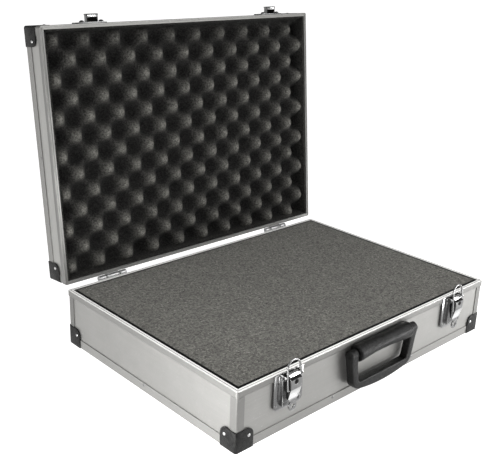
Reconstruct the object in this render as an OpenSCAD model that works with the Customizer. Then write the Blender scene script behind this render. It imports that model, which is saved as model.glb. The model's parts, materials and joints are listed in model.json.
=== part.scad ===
// Aluminium attache case, standing open: a foam-filled base, a lid lined with
// egg-crate foam on two butt hinges, two key-lock draw latches and a folding handle.
// X runs along the hinge, the handle faces -Y, Z is up.
// The origin is the centre of the underside.

/* [Case] */
// Outer length of the case, along the hinge
case_w = 457; // [380:1:520]
// Outer depth of the case, front to back
case_d = 323.4; // [280:0.1:380]
// Height of the base, up to the parting plane
base_h = 74.1; // [70:0.1:110]
// Height of the lid, down to the parting plane
lid_h = 38.6; // [34:0.1:70]
// Angle between the open lid and its closed position
lid_open = 95.7; // [80:0.1:110]

/* [Shell] */
// Thickness of the laminated side and top panels
panel_t = 2; // [1.8:0.1:2.4]
// Depth of the panels behind the rim's outer face
panel_inset = 2; // [1.6:0.1:2.2]
// Height of the angle strips along the bottom and top edges
edge_h = 11.5; // [9:0.5:14]
// Width of the base rim's parting face
rim_w = 5.45; // [5.2:0.05:7]
// Width of the lid rim's parting face
lid_rim_w = 4.8; // [4.6:0.05:7]
// Height of the rim's outer lip
lip_h = 8.5; // [7:0.5:11]
// Reach of each corner protector from its corner
corner_size = 25.2; // [20:0.1:30]

/* [Foam] */
// Depth of the base foam below the rim
foam_drop = 0.7; // [0.5:0.1:6]
// Gap left of the base foam and in front of it
foam_slack = 3.2; // [1:0.1:12]
// Depth of the egg-crate peaks behind the lid's rim
crate_drop = 1.5; // [1:0.5:4]

/* [Hinges] */
// Distance of each hinge's middle from the centre
hinge_x = 153.5; // [100:0.5:180]
// Offset of both hinges to the left, seen from the front
hinge_shift = 4; // [0:0.5:8]
// Width of each hinge
hinge_w = 43; // [36:1:60]
// Distance of the hinge axis behind the case
hinge_back = 3.85; // [3.8:0.05:5]

/* [Latches] */
// Distance of each latch's middle from the centre
latch_x = 154.4; // [110:0.1:180]
// Width of the latch plate
latch_plate_w = 44; // [40:1:52]
// Width of the latch lever
lever_w = 16; // [14:0.5:17]
// Lean of the wire bail towards the case
bail_lean = 5.2; // [4:0.1:7]

/* [Handle] */
// Length of the fixed bar between the grip's arms
bar_w = 98.4; // [80:0.2:120]
// Outer width of the grip at its pivots
grip_w = 126; // [116:1:150]
// Height of the handle's pivot axis above the underside
grip_pivot_z = 59.5; // [56:0.5:62]

/* [Hidden] */
$fn = 48;

// Faces of the case
side_x = case_w / 2;
side_y = case_d / 2;
seam = 0.15;                          // half the gap at the closed parting plane
hinge_y = side_y + hinge_back;
hinge_z = base_h + seam;
skin = 1;                             // depth of the angle strips behind the rim
plan_r = 3;                           // rounding of the rim's outer corners
miter_gap = 0.08;
floor_t = 3;                          // thickness of the bottom and top panels
block_w = 8;                          // width of the angle strip's base block
web_t = 2;                            // thickness of the rim's parting web
inner_wall = panel_inset + panel_t;   // depth of the panels' inner faces
post_flange = 11.5;
foam_gap = 0.4;                       // gap round the lid's foam
foam_snug = 0.5;                      // gap at the base foam's back and right

// Latch, measured out from the rim's front face (o) and up (z)
pivot_o = 5.8;
pivot_z = 70;
roll_r = 3.9;
bail_o = 9.6;
bail_z = 55.5;
wire_r = 1.1;
leg_x = 9.9;
bail_top = 35;                        // length of the bail from its pivot to its top
fit_gap = 0.05;                       // radial clearance of every pivot
latch_pin_r = 1.2;
cheek_x = 12.4;
cheek_t = 1.3;
plate_t = 1.2;
plate_low = 30;
plate_top = 73.4;
face_o = 12.3;
lock_z = 65;
lock_r = 2.9;

// Handle
grip_o = 7;
grip_half = 5.4;                      // half the grip's thickness
eye_r = 6.4;                          // round ends of the arms
bar_r = 10.2;
grip_pin_r = 2;

// Hinge
knuckle_r = 3.4;
hinge_pin_r = 1.2;
leaf_t = 1.2;
leaf_h = 22;
knuckle_gap = 1.2;

// ---------------------------------------------------------------- shell tools

// Turns the front side (index 0) to the right, back or left side (1, 2, 3).
// The child lies along X with its outer face at y = 0 and runs inwards to +y.
module on_side(index) {
    reach = (index % 2 == 0) ? side_y : side_x;
    rotate([0, 0, 90 * index]) translate([0, -reach, 0]) children();
}

function side_length(index) = (index % 2 == 0) ? case_w : case_d;

// Extrudes a profile drawn as (depth inwards, height) along one side
module along_side(length) {
    translate([-length / 2, 0, 0])
        rotate([90, 0, 90]) linear_extrude(length) children();
}

// Wedge that cuts a side strip to 45 degree mitres
module miter_wedge(length, height) {
    half = length / 2 - miter_gap;
    deep = 40;
    translate([0, 0, -1]) linear_extrude(height + 2)
        polygon([[-half, 0], [half, 0], [half - deep, deep], [deep - half, deep]]);
}

// Upright prism with the case's outline, set in by an amount, with round corners
module plan_prism(inset, radius, height) {
    w = case_w - 2 * inset;
    d = case_d - 2 * inset;
    translate([0, 0, -1]) linear_extrude(height + 2) {
        square([w - 2 * radius, d], center = true);
        square([w, d - 2 * radius], center = true);
        for (sx = [-1, 1], sy = [-1, 1])
            translate([sx * (w / 2 - radius), sy * (d / 2 - radius)]) circle(radius);
    }
}

// Angle strip round the bottom edge: a flange on the side and a block below it
module edge_profile() {
    r = 0.9;
    difference() {
        union() {
            translate([skin, r]) square([panel_inset - skin, edge_h - r]);
            translate([skin + r, 0]) square([block_w - skin - r, floor_t]);
            translate([skin + r, r]) circle(r);
            translate([skin + r, r]) square([block_w - skin - r, floor_t - r]);
        }
        translate([panel_inset, floor_t]) square([block_w, edge_h]);
    }
}

// Rim: outer lip with a rounded lower edge, parting web with a groove, inner flange
module rim_profile(h, w) {
    r_top = 0.7;
    groove_w = 0.8;
    groove_d = 0.5;
    inner_h = 10;
    difference() {
        union() {
            translate([0, h - lip_h + panel_inset])
                square([panel_inset, lip_h - panel_inset - r_top]);
            intersection() {
                translate([panel_inset, h - lip_h + panel_inset]) circle(panel_inset);
                translate([0, h - lip_h]) square(panel_inset);
            }
            translate([r_top, h - r_top]) circle(r_top);
            translate([r_top, h - web_t]) square([w - r_top, web_t]);
            translate([inner_wall, h - inner_h]) square([w - inner_wall, inner_h]);
        }
        translate([w / 2 - groove_w / 2, h - groove_d]) square([groove_w, 1]);
    }
}

// Side panel between two corner posts, from the edge block up to the rim's web
module panel_on(index, h) {
    length = side_length(index) - 2 * inner_wall;
    on_side(index) translate([-length / 2, panel_inset, floor_t])
        cube([length, panel_t, h - web_t - floor_t]);
}

module flat_panel() {
    w = case_w - 2 * block_w;
    d = case_d - 2 * block_w;
    difference() {
        translate([-w / 2, -d / 2, 0]) cube([w, d, floor_t]);
        corner_pockets();
    }
}

// Recesses that let the protectors' lower lobes in flush
module corner_pockets() {
    size = corner_size + 0.1;
    for (sx = [-1, 1], sy = [-1, 1])
        translate([sx * (side_x - size / 2), sy * (side_y - size / 2), 0])
            cube([size, size, 2 * (skin + 0.05)], center = true);
}

module edge_on(index) {
    length = side_length(index);
    difference() {
        intersection() {
            on_side(index) {
                intersection() {
                    along_side(length) edge_profile();
                    miter_wedge(length, edge_h);
                }
            }
            plan_prism(skin, plan_r - skin, edge_h);
        }
        corner_pockets();
    }
}

module rim_on(index, h, w) {
    length = side_length(index);
    intersection() {
        on_side(index) {
            intersection() {
                along_side(length) rim_profile(h, w);
                miter_wedge(length, h);
            }
        }
        plan_prism(0, plan_r, h);
    }
}

// Angle post for one corner: two flanges over the panels and a core between them
module corner_post(h) {
    r = plan_r - skin;
    bottom = edge_h + 0.05;
    top = h - lip_h - 0.05;
    core_bottom = floor_t;
    // flanges
    translate([0, 0, bottom]) linear_extrude(top - bottom) {
        difference() {
            union() {
                translate([skin + r, skin + r]) circle(r);
                translate([skin + r, skin]) square([post_flange - skin - r, r]);
                translate([skin, skin + r]) square([r, post_flange - skin - r]);
            }
            translate([panel_inset, panel_inset]) square(post_flange);
        }
    }
    // core, standing on the edge strips
    core = panel_t - 0.02;
    translate([panel_inset, panel_inset, core_bottom])
        cube([core, core, h - web_t - core_bottom - 0.05]);
}

module at_corner(sx, sy) {
    translate([sx * side_x, sy * side_y, 0])
        mirror([sx > 0 ? 1 : 0, 0, 0]) mirror([0, sy > 0 ? 1 : 0, 0]) children();
}

// Square lobe with its free corner rounded
module lobe_outline() {
    r = 9;
    square([corner_size - r, corner_size]);
    square([corner_size, corner_size - r]);
    translate([corner_size - r, corner_size - r]) circle(r);
}

// Three-lobed protector that wraps one corner
module protector() {
    s = corner_size;
    intersection() {
        difference() {
            linear_extrude(s) {
                translate([plan_r, plan_r]) circle(plan_r);
                translate([plan_r, 0]) square([s - plan_r, s]);
                translate([0, plan_r]) square([s, s - plan_r]);
            }
            translate([0, 0, skin]) linear_extrude(s) {
                r = plan_r - skin;
                translate([skin + r, skin + r]) circle(r);
                translate([skin + r, skin]) square([s, s + skin]);
                translate([skin, skin + r]) square([s, s + skin]);
            }
        }
        union() {
            linear_extrude(skin + 0.01) lobe_outline();
            rotate([90, 0, 0]) mirror([0, 0, 1])
                linear_extrude(plan_r) lobe_outline();
            rotate([90, 0, 90]) linear_extrude(plan_r) lobe_outline();
        }
    }
}

// Rivet head on the side plane, stepped and twelve-sided, its axis out to -y
module rivet_head(r, h) {
    steps = [[1, 0.5], [0.8, 0.8], [0.5, 1]];
    rotate([90, 0, 0])
        for (step = steps) cylinder(r = r * step[0], h = h * step[1], $fn = 12);
}

rivet_r = 2.1;
rivet_h = 0.9;
protector_rivet = [18.6, 16.4];       // along the edge and up, from the corner
edge_rivet_z = 8.6;
edge_rivet_x = 76;

// Rivets of one shell, given as a base of height h
module shell_rivets() {
    for (index = [0:3]) {
        length = side_length(index);
        on_side(index) {
            for (s = [-1, 1])
                translate([s * (length / 2 - protector_rivet[0]), 0, protector_rivet[1]])
                    rivet_head(rivet_r, rivet_h);
            for (x = (index % 2 == 0) ? [-edge_rivet_x, edge_rivet_x] : [0])
                translate([x, skin, edge_rivet_z]) rivet_head(1.8, 0.5);
        }
    }
}

// Turns a shell built standing on its base into the lid, then opens it
module as_open_lid() {
    translate([0, hinge_y, hinge_z]) rotate([-lid_open, 0, 0])
        translate([0, -hinge_y, seam]) translate([0, 0, lid_h])
            mirror([0, 0, 1]) children();
}

// Places parts given in the closed lid's frame (z up from the parting plane)
module on_open_lid() {
    translate([0, hinge_y, hinge_z]) rotate([-lid_open, 0, 0])
        translate([0, -hinge_y, seam]) children();
}

// ---------------------------------------------------------------- base shell

panel_colour = "#c9cbca";
trim_colour = "#b3b4b1";
rim_colour = "#dcdcda";
plastic_colour = "#3a3b3a";
metal_colour = "#c4c6c8";

module base_bottom_panel() { color(panel_colour) flat_panel(); }
module base_front_panel() { color(panel_colour) panel_on(0, base_h); }
module base_back_panel() { color(panel_colour) panel_on(2, base_h); }
module base_left_panel() { color(panel_colour) panel_on(3, base_h); }
module base_right_panel() { color(panel_colour) panel_on(1, base_h); }
module base_rim_front() { color(rim_colour) rim_on(0, base_h, rim_w); }
module base_rim_back() { color(rim_colour) rim_on(2, base_h, rim_w); }
module base_rim_left() { color(rim_colour) rim_on(3, base_h, rim_w); }
module base_rim_right() { color(rim_colour) rim_on(1, base_h, rim_w); }
module base_edge_front() { color(trim_colour) edge_on(0); }
module base_edge_back() { color(trim_colour) edge_on(2); }
module base_edge_left() { color(trim_colour) edge_on(3); }
module base_edge_right() { color(trim_colour) edge_on(1); }

module base_corner_posts() {
    color(trim_colour)
        for (sx = [-1, 1], sy = [-1, 1]) at_corner(sx, sy) corner_post(base_h);
}

module base_protector_front_left() { color(plastic_colour) at_corner(-1, -1) protector(); }
module base_protector_front_right() { color(plastic_colour) at_corner(1, -1) protector(); }
module base_protector_back_left() { color(plastic_colour) at_corner(-1, 1) protector(); }
module base_protector_back_right() { color(plastic_colour) at_corner(1, 1) protector(); }

module base_rivets() {
    color(metal_colour) {
        shell_rivets();
        for (s = [-1, 1]) latch_rivets(s);
        hinge_rivets();
    }
}

// Loose slab, pushed to the back and the right
module base_foam() {
    w = case_w - 2 * rim_w - foam_slack - foam_snug;
    d = case_d - 2 * rim_w - foam_slack - foam_snug;
    bottom = floor_t + 0.1;
    color("#6a6a68")
        translate([foam_slack + rim_w - side_x, foam_slack + rim_w - side_y, bottom])
            cube([w, d, base_h - foam_drop - bottom]);
}

// ---------------------------------------------------------------- lid shell

module lid_top_panel() { color(panel_colour) as_open_lid() flat_panel(); }
module lid_front_panel() { color(panel_colour) as_open_lid() panel_on(0, lid_h); }
module lid_back_panel() { color(panel_colour) as_open_lid() panel_on(2, lid_h); }
module lid_left_panel() { color(panel_colour) as_open_lid() panel_on(3, lid_h); }
module lid_right_panel() { color(panel_colour) as_open_lid() panel_on(1, lid_h); }
module lid_rim_front() { color(rim_colour) as_open_lid() rim_on(0, lid_h, lid_rim_w); }
module lid_rim_back() { color(rim_colour) as_open_lid() rim_on(2, lid_h, lid_rim_w); }
module lid_rim_left() { color(rim_colour) as_open_lid() rim_on(3, lid_h, lid_rim_w); }
module lid_rim_right() { color(rim_colour) as_open_lid() rim_on(1, lid_h, lid_rim_w); }
module lid_edge_front() { color(trim_colour) as_open_lid() edge_on(0); }
module lid_edge_back() { color(trim_colour) as_open_lid() edge_on(2); }
module lid_edge_left() { color(trim_colour) as_open_lid() edge_on(3); }
module lid_edge_right() { color(trim_colour) as_open_lid() edge_on(1); }

module lid_corner_posts() {
    color(trim_colour) as_open_lid()
        for (sx = [-1, 1], sy = [-1, 1]) at_corner(sx, sy) corner_post(lid_h);
}

module lid_protector(sx, sy) {
    color(plastic_colour) as_open_lid() at_corner(sx, sy) protector();
}
module lid_protector_front_left() { lid_protector(-1, -1); }
module lid_protector_front_right() { lid_protector(1, -1); }
module lid_protector_back_left() { lid_protector(-1, 1); }
module lid_protector_back_right() { lid_protector(1, 1); }

module lid_rivets() {
    color(metal_colour) {
        as_open_lid() shell_rivets();
        on_open_lid() {
            catch_rivets();
            lid_leaf_rivets();
        }
    }
}

module lid_egg_crate_foam() {
    edge = lid_rim_w + foam_gap;
    w = case_w - 2 * edge;
    d = case_d - 2 * edge;
    color("#2c2c2c") as_open_lid() translate([-w / 2, -d / 2, floor_t + 0.1])
        cube([w, d, lid_h - crate_drop - floor_t - 0.1]);
}

// ---------------------------------------------------------------- hinges

knuckle_end = 0.27;                   // share of the width in each outer knuckle

// Moves a hinge part drawn round x = 0 to the left or right hinge
module at_hinge(s) { translate([s * hinge_x - hinge_shift, 0, 0]) children(); }

// Knuckle tube from x0 to x1 round the hinge axis
module knuckle(x0, x1) {
    translate([x0, hinge_y, hinge_z]) rotate([0, 90, 0]) cylinder(r = knuckle_r, h = x1 - x0);
}

module hinge_bore() {
    translate([-hinge_w, hinge_y, hinge_z]) rotate([0, 90, 0])
        cylinder(r = hinge_pin_r + fit_gap, h = 2 * hinge_w);
}

module base_leaf() {
    x1 = hinge_w / 2;
    x0 = x1 - knuckle_end * hinge_w;
    difference() {
        union() {
            for (s = [0, 1]) mirror([s, 0, 0]) {
                knuckle(x0 + knuckle_gap, x1);
                translate([x0 + knuckle_gap, side_y, hinge_z - 2 * knuckle_r])
                    cube([x1 - x0 - knuckle_gap, leaf_t, 2 * knuckle_r - 0.6]);
            }
            translate([-x1, side_y, hinge_z - knuckle_r - leaf_h])
                cube([hinge_w, leaf_t, leaf_h - 0.3]);
            translate([-x1, side_y - panel_inset, hinge_z - knuckle_r - leaf_h])
                cube([hinge_w, panel_inset + 0.1, leaf_h + knuckle_r - seam - lip_h - 0.1]);
        }
        hinge_bore();
    }
}

// Lid leaf, drawn in the closed lid's frame moved so that the axis is unchanged
module lid_leaf() {
    x0 = hinge_w / 2 - knuckle_end * hinge_w;
    difference() {
        union() {
            knuckle(-x0, x0);
            translate([-x0, side_y, hinge_z + 0.6])
                cube([2 * x0, leaf_t, 2 * knuckle_r - 0.6]);
            translate([-hinge_w / 2, side_y, hinge_z + knuckle_r + 0.3])
                cube([hinge_w, leaf_t, leaf_h - 0.3]);
            translate([-hinge_w / 2, side_y - panel_inset, hinge_z + seam + lip_h + 0.1])
                cube([hinge_w, panel_inset + 0.1, leaf_h + knuckle_r - seam - lip_h - 0.1]);
        }
        hinge_bore();
    }
}

module open_hinge_turn() {
    translate([0, hinge_y, hinge_z]) rotate([-lid_open, 0, 0])
        translate([0, -hinge_y, -hinge_z]) children();
}

module left_hinge_base_leaf() {
    color(metal_colour) at_hinge(-1) base_leaf();
}
module right_hinge_base_leaf() {
    color(metal_colour) at_hinge(1) base_leaf();
}
module left_hinge_lid_leaf() {
    color(metal_colour) at_hinge(-1) open_hinge_turn() lid_leaf();
}
module right_hinge_lid_leaf() {
    color(metal_colour) at_hinge(1) open_hinge_turn() lid_leaf();
}
module hinge_pins() {
    color(metal_colour) for (s = [-1, 1])
        at_hinge(s) translate([-hinge_w / 2 - 0.4, hinge_y, hinge_z]) rotate([0, 90, 0])
            cylinder(r = hinge_pin_r, h = hinge_w + 0.8);
}

leaf_rivet_x = 15;
leaf_rivet_drop = 15;

module hinge_rivets() {
    for (s = [-1, 1], x = [-leaf_rivet_x, 0, leaf_rivet_x])
        at_hinge(s) translate([x, side_y + leaf_t, hinge_z - knuckle_r - leaf_rivet_drop])
            mirror([0, 1, 0]) rivet_head(rivet_r, rivet_h);
}

module lid_leaf_rivets() {
    for (s = [-1, 1], x = [-leaf_rivet_x, 0, leaf_rivet_x])
        at_hinge(s) translate([x, side_y + leaf_t, knuckle_r + leaf_rivet_drop - seam])
            mirror([0, 1, 0]) rivet_head(rivet_r, rivet_h);
}

// ---------------------------------------------------------------- latches

// Moves a latch part drawn round x = 0 to one side; o is -y from the rim's face
module at_latch(s) { translate([s * latch_x, -side_y, 0]) children(); }

// Extrudes an (o, z) profile between x = -half and x = half
module across(half) {
    translate([half, 0, 0]) rotate([90, 0, -90]) linear_extrude(2 * half) children();
}

// Cylinder along x at (o, z), from x0 to x1
module x_rod(o, z, r, x0, x1) {
    translate([x0, -o, z]) rotate([0, 90, 0]) cylinder(r = r, h = x1 - x0);
}

module latch_plate() {
    half = latch_plate_w / 2;
    r = 6;
    step_z = base_h - lip_h - 0.1;
    difference() {
        union() {
            // mounting plate with rounded lower corners, seated on the panel
            intersection() {
                across(half) union() {
                    translate([-panel_inset, plate_low])
                        square([panel_inset + plate_t, step_z - plate_low]);
                    translate([0, plate_low]) square([plate_t, plate_top - plate_low]);
                }
                rotate([90, 0, 0]) translate([0, 0, -5]) linear_extrude(10) {
                    translate([-half, plate_low + r]) square([2 * half, 60]);
                    translate([r - half, plate_low]) square([2 * (half - r), 60]);
                    for (s = [-1, 1])
                        translate([s * (half - r), plate_low + r]) circle(r);
                }
            }
            // cheeks that carry the lever's pin
            for (s = [0, 1]) mirror([s, 0, 0])
                translate([cheek_x + cheek_t / 2, 0, 0]) across(cheek_t / 2) cheek_profile();
            // raised ribs beside the cheeks
            for (s = [0, 1]) mirror([s, 0, 0])
                translate([cheek_x + cheek_t + 1.2, 0, 0]) across(1.2)
                    translate([plate_t - 0.1, 44]) square([1.7, plate_top - 46]);
        }
        x_rod(pivot_o, pivot_z, latch_pin_r + fit_gap, -half, half);
    }
}

module cheek_profile() {
    translate([plate_t - 0.1, 36]) square([4.6, plate_top - 38.4]);
    translate([plate_t - 0.1, pivot_z - 3]) square([pivot_o - plate_t + 0.1, 6]);
    translate([pivot_o, pivot_z]) circle(3);
}

module left_latch_plate() { color(metal_colour) at_latch(-1) latch_plate(); }
module right_latch_plate() { color(metal_colour) at_latch(1) latch_plate(); }

module latch_rivets(s) {
    for (x = [-1, 1], z = [36, 62])
        translate([s * latch_x + x * 18.6, -side_y - plate_t, z]) rivet_head(1.7, 0.8);
}

// Side view of the lever: rolled top, flat face, inward bend and tail
lever_wall = 1.2;
module lever_profile() {
    translate([pivot_o, pivot_z]) circle(roll_r);
    polygon([
        [pivot_o, pivot_z], [9.4, 68.9], [face_o - 0.6, 68.9], [face_o, 68.1],
        [face_o, 57.4], [face_o - 0.4, 55.6], [8.9, 44], [8.4, 40],
        [6.9, 40], [5, 46], [3.4, 56], [pivot_o - 2.4, 67]
    ]);
}

module lever_pocket() {
    wall = lever_wall;
    polygon([
        [2, 65], [pivot_o, pivot_z - roll_r - 0.4], [8, 65.9], [8.1, 67.6],
        [10.2, 67.6], [face_o - wall, 66.4], [face_o - wall, 57.6],
        [face_o - wall - 0.4, 56], [8.2, 46], [2, 46]
    ]);
}

module latch_lever() {
    ring_z = 33.5;
    ring_o = 7.7;
    half = lever_w / 2;
    difference() {
        union() {
            across(half) lever_profile();
            // finger ring on the tail
            translate([0, -ring_o + 0.8, ring_z]) rotate([90, 0, 0]) cylinder(r = 6, h = 1.6);
            translate([-3.5, -ring_o - 0.8, ring_z + 3]) cube([7, 1.6, 5]);
        }
        across(half - lever_wall) lever_pocket();
        // the tail narrows to the ring
        for (s = [0, 1]) mirror([s, 0, 0])
            translate([half + 2.4, 0, 39]) rotate([90, 0, 0])
                cylinder(r = 5.6, h = 30, center = true);
        translate([0, 0, ring_z]) rotate([90, 0, 0]) cylinder(r = 2.8, h = 30);
        translate([0, -8, lock_z]) rotate([90, 0, 0]) cylinder(r = lock_r + fit_gap, h = 8);
        x_rod(pivot_o, pivot_z, latch_pin_r + fit_gap, -half - 1, half + 1);
        x_rod(bail_o, bail_z, wire_r + fit_gap, -half - 1, half + 1);
    }
}

module left_latch_lever() { color(metal_colour) at_latch(-1) latch_lever(); }
module right_latch_lever() { color(metal_colour) at_latch(1) latch_lever(); }

// Wire bail: two legs, a half-round top and two ends turned in to the lever
module latch_bail() {
    straight = bail_top - wire_r - leg_x;
    end_x = lever_w / 2 - lever_wall - 0.6;
    translate([0, -bail_o, bail_z]) rotate([-bail_lean, 0, 0]) {
        for (s = [0, 1]) mirror([s, 0, 0]) {
            translate([leg_x, 0, 0]) cylinder(r = wire_r, h = straight);
            translate([leg_x, 0, 0]) sphere(wire_r);
            translate([end_x, 0, 0]) rotate([0, 90, 0]) cylinder(r = wire_r, h = leg_x - end_x);
        }
        translate([0, 0, straight]) rotate([90, 0, 0])
            rotate_extrude(angle = 180) translate([leg_x, 0]) circle(wire_r);
    }
}

module left_latch_bail() { color(metal_colour) at_latch(-1) latch_bail(); }
module right_latch_bail() { color(metal_colour) at_latch(1) latch_bail(); }

// Lock plug with its keyway and the locking cam behind the lever's face
module lock_plug() {
    front = face_o + 0.1;
    back = 9.6;
    difference() {
        translate([0, -back, lock_z]) rotate([90, 0, 0]) cylinder(r = lock_r, h = front - back);
        translate([-0.5, -front - 1, lock_z - 1.8]) cube([1, 2.6, 3.6]);
    }
    translate([-2, -back, lock_z - 6]) cube([4, 1.3, 7.8]);
}

module left_lock_plug() { color("#2a2a2a") at_latch(-1) lock_plug(); }
module right_lock_plug() { color("#2a2a2a") at_latch(1) lock_plug(); }

module latch_pins() {
    half = cheek_x + cheek_t + 0.5;
    color(metal_colour) for (s = [-1, 1])
        at_latch(s) x_rod(pivot_o, pivot_z, latch_pin_r, -half, half);
}

// ---------------------------------------------------------------- catches

nose_r = 8.1;
nose_z = 5.1;                         // middle of the nose's round top
nose_low = 2;
nose_o = 11.3;
nose_wall = 1.3;
roll_edge_r = 2.5;

// Arch seen from the front, extruded between two distances from the case
module arch(r, low, o0, o1) {
    translate([0, -o0, 0]) rotate([90, 0, 0]) linear_extrude(o1 - o0) {
        translate([0, nose_z]) circle(r);
        translate([-r, low]) square([2 * r, nose_z - low]);
    }
}

// Catch on the lid's front, in the closed lid's frame: a plate and a hollow nose
module catch_hook() {
    half = 20.4;
    low = 0.6;
    high = 17;
    lip_r = 8.5;
    difference() {
        union() {
            across(half) {
                translate([0, low]) square([1.3, high - low]);
                translate([-panel_inset, lip_h + 0.1])
                    square([panel_inset + 0.1, high - lip_h - 0.1]);
            }
            intersection() {
                union() {
                    arch(nose_r, nose_low, 1.2, nose_o);
                    arch(lip_r, nose_low, nose_o - 2, nose_o);
                }
                translate([-15, -15, nose_low]) cube(30);
            }
        }
        intersection() {
            arch(nose_r - nose_wall, nose_low - 1, 1.3, nose_o - nose_wall);
            translate([-15, -15, nose_low - 1]) cube(30);
        }
    }
    x_rod(nose_o - roll_edge_r, nose_low + roll_edge_r, roll_edge_r, -nose_r, nose_r);
}

module left_catch() {
    color(metal_colour) on_open_lid() translate([-latch_x, -side_y, 0]) catch_hook();
}
module right_catch() {
    color(metal_colour) on_open_lid() translate([latch_x, -side_y, 0]) catch_hook();
}

module catch_rivets() {
    for (s = [-1, 1], x = [-1, 1])
        translate([s * latch_x + x * 14, -side_y - 1.3, 4.4]) rivet_head(3.4, 2.6);
}

// ---------------------------------------------------------------- handle

module at_front() { translate([0, -side_y, 0]) children(); }

// Fixed bar: round front and a flat foot on the panel, below the rim's lip
module handle_bar() {
    half = bar_w / 2;
    step_z = base_h - lip_h - 0.1;
    bottom = grip_pivot_z - bar_r;
    color(plastic_colour) at_front() difference() {
        across(half) difference() {
            union() {
                translate([grip_o, grip_pivot_z]) circle(bar_r);
                translate([-panel_inset, bottom]) square([grip_o + panel_inset, bar_r]);
                translate([0, bottom]) square([grip_o, 2 * bar_r - 1.2]);
            }
            translate([-20, step_z]) square([20, 20]);
            translate([-20, 0]) square([20 - panel_inset, 100]);
        }
        for (s = [0, 1]) mirror([s, 0, 0])
            x_rod(grip_o, grip_pivot_z, grip_pin_r + fit_gap, half - 9, half + 1);
        finger_scoop();
    }
}

scoop_depth = 3.6;
scoop_half = 44;
scoop_turn = 36;                      // below the horizontal

// Shallow lens-shaped scoop, cut by a large upright cylinder tipped on the pivot
module finger_scoop() {
    r = (scoop_half * scoop_half + scoop_depth * scoop_depth) / (2 * scoop_depth);
    translate([0, -grip_o, grip_pivot_z]) rotate([scoop_turn, 0, 0])
        translate([0, scoop_depth - bar_r - r, -2 * bar_r])
            cylinder(r = r, h = 4 * bar_r, $fn = 360);
}

// Points of an arc in the front view of the grip
function arc(cx, cz, r, a0, a1, n) =
    [for (i = [0:n]) let (a = a0 + (a1 - a0) * i / n) [cx + r * cos(a), cz + r * sin(a)]];

belly_z = 9;
belly_r = 230;
corner_r = 15;
grip_low_x = 57;                      // half width low down, above the round corners

// D-shaped outline with a gently curved belly and splayed arms
module grip_outline() {
    swing = asin((grip_low_x - corner_r) / (belly_r - corner_r));
    centre_z = belly_z + belly_r;
    corner_x = grip_low_x - corner_r;
    corner_z = centre_z - (belly_r - corner_r) * cos(swing);
    belly = arc(0, centre_z, belly_r, 270, 270 + swing, 10);
    turn = arc(corner_x, corner_z, corner_r, swing - 86, -6, 8);
    right = concat(belly, turn, [[60.6, 46], [grip_w / 2, grip_pivot_z]]);
    left = [for (i = [len(right) - 1:-1:1]) [-right[i][0], right[i][1]]];
    polygon(concat(right, left));
}

module grip_window() {
    r = 4;
    inner = bar_w / 2 + 0.6;
    lower = 22.4;
    right = concat(
        arc(46 - r, lower + r, r, -90, 0, 6),
        [[inner, 47], [inner, 90]]
    );
    left = [for (i = [len(right) - 1:-1:0]) [-right[i][0], right[i][1]]];
    polygon(concat(right, left));
}

module handle_grip() {
    inner = bar_w / 2 + 0.6;
    color(plastic_colour) at_front() difference() {
        union() {
            translate([0, -grip_o + grip_half, 0]) rotate([90, 0, 0])
                linear_extrude(2 * grip_half) difference() {
                    grip_outline();
                    grip_window();
                }
            for (s = [0, 1]) mirror([s, 0, 0])
                x_rod(grip_o, grip_pivot_z, eye_r, inner, grip_w / 2);
        }
        x_rod(grip_o, grip_pivot_z, grip_pin_r + fit_gap, -grip_w, grip_w);
    }
}

module handle_pins() {
    color(metal_colour) at_front() for (s = [0, 1]) mirror([s, 0, 0])
        x_rod(grip_o, grip_pivot_z, grip_pin_r, bar_w / 2 - 8, grip_w / 2 - 1);
}

// ---------------------------------------------------------------- output

base_bottom_panel();
base_front_panel();
base_back_panel();
base_left_panel();
base_right_panel();
base_rim_front();
base_rim_back();
base_rim_left();
base_rim_right();
base_edge_front();
base_edge_back();
base_edge_left();
base_edge_right();
base_corner_posts();
base_protector_front_left();
base_protector_front_right();
base_protector_back_left();
base_protector_back_right();
base_rivets();
base_foam();
lid_top_panel();
lid_front_panel();
lid_back_panel();
lid_left_panel();
lid_right_panel();
lid_rim_front();
lid_rim_back();
lid_rim_left();
lid_rim_right();
lid_edge_front();
lid_edge_back();
lid_edge_left();
lid_edge_right();
lid_corner_posts();
lid_protector_front_left();
lid_protector_front_right();
lid_protector_back_left();
lid_protector_back_right();
lid_rivets();
lid_egg_crate_foam();
left_hinge_base_leaf();
right_hinge_base_leaf();
left_hinge_lid_leaf();
right_hinge_lid_leaf();
hinge_pins();
left_latch_plate();
right_latch_plate();
left_latch_lever();
right_latch_lever();
left_latch_bail();
right_latch_bail();
left_lock_plug();
right_lock_plug();
latch_pins();
left_catch();
right_catch();
handle_bar();
handle_grip();
handle_pins();
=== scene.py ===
import json
import math

import bmesh
import bpy
from mathutils import Matrix, Vector, noise


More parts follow.
